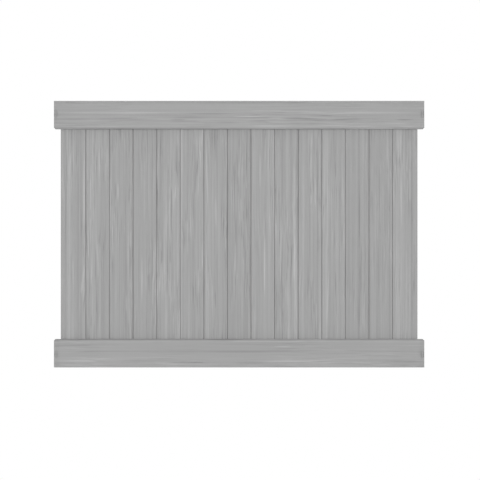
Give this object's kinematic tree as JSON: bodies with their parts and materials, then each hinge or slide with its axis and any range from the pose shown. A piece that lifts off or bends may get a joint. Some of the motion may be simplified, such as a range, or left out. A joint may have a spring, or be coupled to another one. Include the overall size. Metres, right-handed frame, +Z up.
{
  "type": "vinyl privacy fence panel",
  "caption": "Vinyl privacy fence panel: hollow tongue-and-groove boards with V seams, held in the pockets of two deep hollow rails whose ends reach past the boards into the posts.",
  "frame": {"origin": "on the ground plane, at the middle of the bottom rail's underside", "axes": "+X along the panel to the right as seen from the front, +Y through the panel to the back, +Z up"},
  "size_m": [2.4004, 0.0568, 1.7272],
  "materials": {
    "rail_vinyl": "satin",
    "board_vinyl": "satin",
    "channel_vinyl": "satin",
    "galvanised_steel": "satin"
  },
  "bodies": {
    "root": {"top_rail": "rail_vinyl", "bottom_rail": "rail_vinyl", "bottom_rail_stiffener": "galvanised_steel", "left_end_channel": "channel_vinyl", "right_end_channel": "channel_vinyl", "board_01": "board_vinyl", "board_02": "board_vinyl", "board_03": "board_vinyl", "board_04": "board_vinyl", "board_05": "board_vinyl", "board_06": "board_vinyl", "board_07": "board_vinyl", "board_08": "board_vinyl", "board_09": "board_vinyl", "board_10": "board_vinyl", "board_11": "board_vinyl", "board_12": "board_vinyl", "board_13": "board_vinyl", "board_14": "board_vinyl", "board_15": "board_vinyl"}
  },
  "joints": []
}
